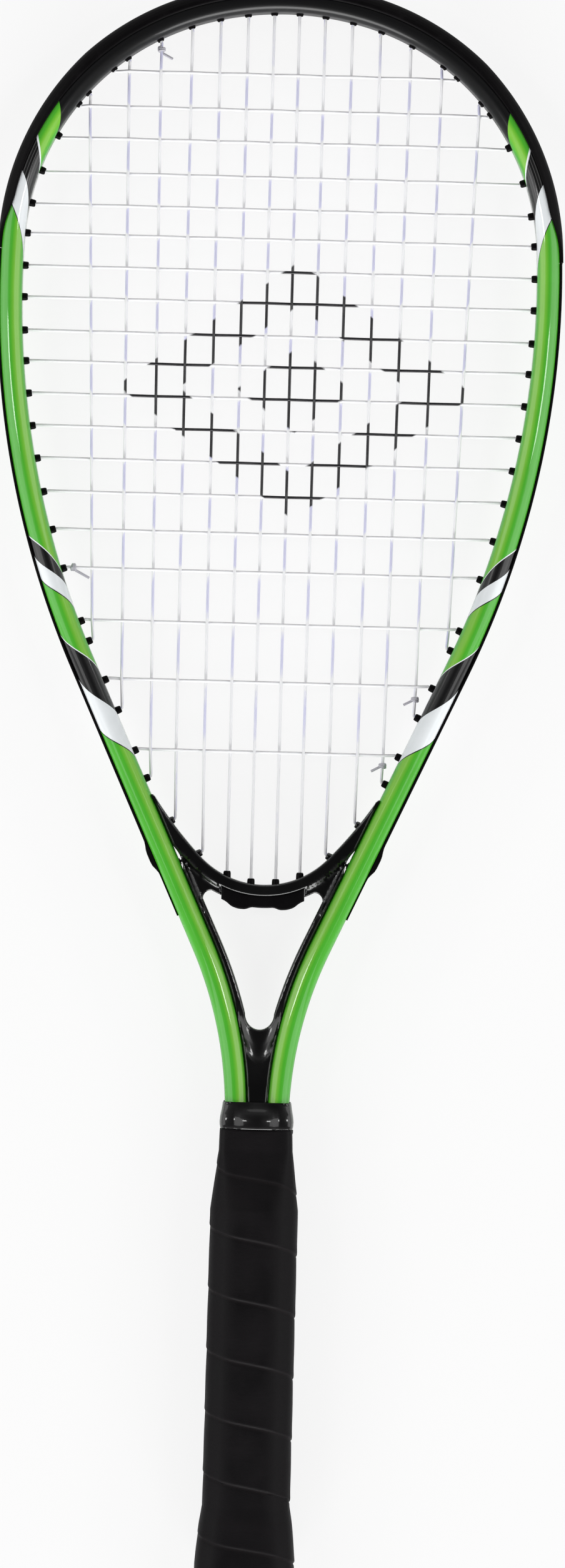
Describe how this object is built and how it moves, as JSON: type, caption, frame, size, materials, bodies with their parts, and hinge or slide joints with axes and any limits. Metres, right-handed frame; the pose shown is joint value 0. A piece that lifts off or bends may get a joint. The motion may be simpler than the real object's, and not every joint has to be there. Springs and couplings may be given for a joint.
{
  "type": "crossminton racket",
  "caption": "Short strung racket with a teardrop head, a black moulded throat and a wrapped octagonal handle, for hitting a speeder shuttle.",
  "frame": {"origin": "centre of the butt cap's flat end face", "axes": "+Y along the racket from the butt to the head's tip, +X across the head, +Z square to the strings, out of the front face"},
  "size_m": [0.2116, 0.6002, 0.0324],
  "materials": {
    "green_paint": "gloss paint over the tube",
    "gloss_black": "gloss",
    "black_plastic": "satin",
    "string_white": "satin",
    "handle_foam": "matte",
    "staple_steel": "bright wire",
    "grip_black": "matte",
    "collar_rubber": "gloss"
  },
  "bodies": {
    "root": {"frame_tube": "green_paint", "throat_piece": "gloss_black", "head_bumper": "black_plastic", "side_strip_left": "black_plastic", "side_strip_right": "black_plastic", "bridge_strip": "black_plastic", "main_string": "string_white", "cross_string": "string_white", "knot_main_left": "string_white", "knot_main_right": "string_white", "knot_cross_top": "string_white", "knot_cross_bottom": "string_white", "handle_half_front": "handle_foam", "handle_half_back": "handle_foam", "butt_cap": "black_plastic", "butt_staple_front": "staple_steel", "butt_staple_back": "staple_steel", "grip_wrap": "grip_black", "grip_collar": "collar_rubber"}
  },
  "joints": []
}
